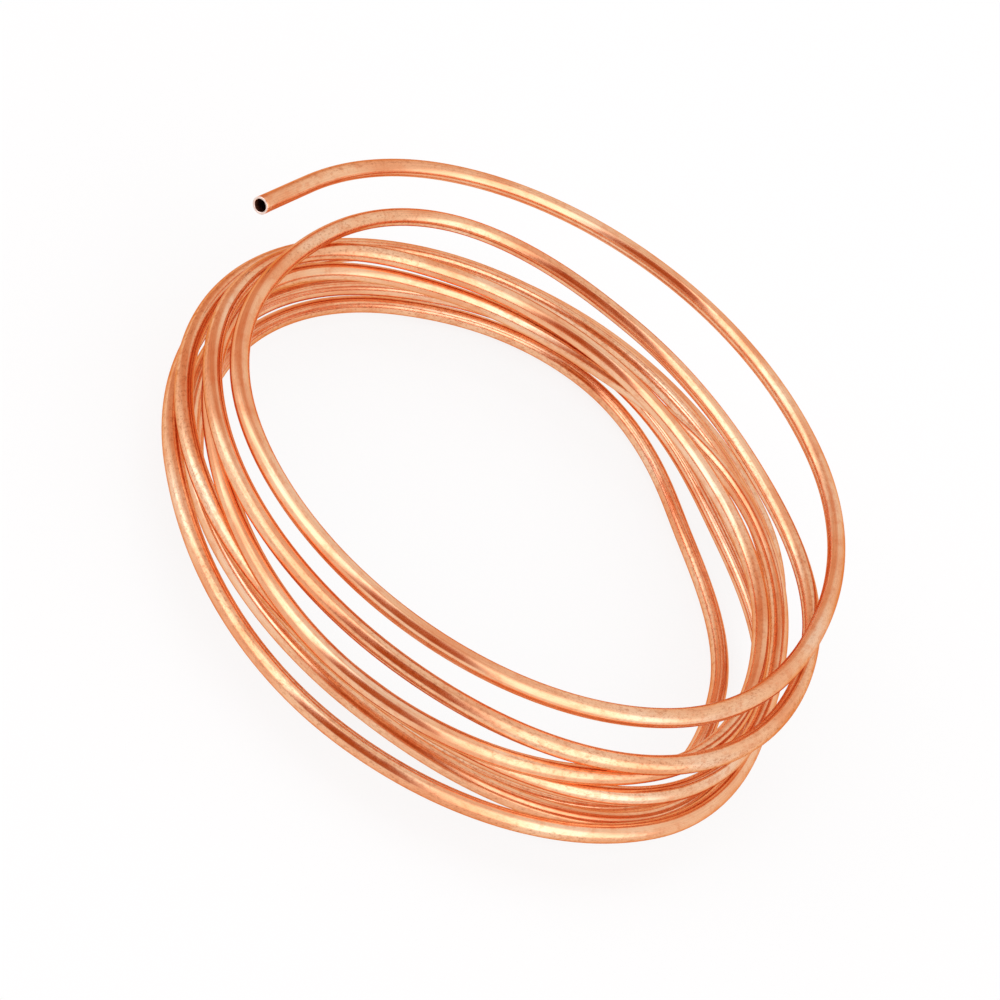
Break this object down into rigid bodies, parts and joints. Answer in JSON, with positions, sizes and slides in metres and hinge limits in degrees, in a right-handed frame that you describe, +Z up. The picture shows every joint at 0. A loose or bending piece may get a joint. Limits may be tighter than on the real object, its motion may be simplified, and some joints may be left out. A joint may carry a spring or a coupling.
{
  "type": "copper tube coil",
  "caption": "Loose open coil of thin round soft copper tube lying flat, its top end free and both ends cut square and open.",
  "frame": {"origin": "middle of the coil's outline on the plane it lies on", "axes": "+Z up along the winding axis, -Y towards the side nearest the viewer, the free end at the -X side on top"},
  "size_m": [0.1554, 0.1738, 0.0367],
  "materials": {
    "copper": "bright drawn, lightly tarnished"
  },
  "bodies": {
    "root": {"copper_tube": "copper"}
  },
  "joints": []
}
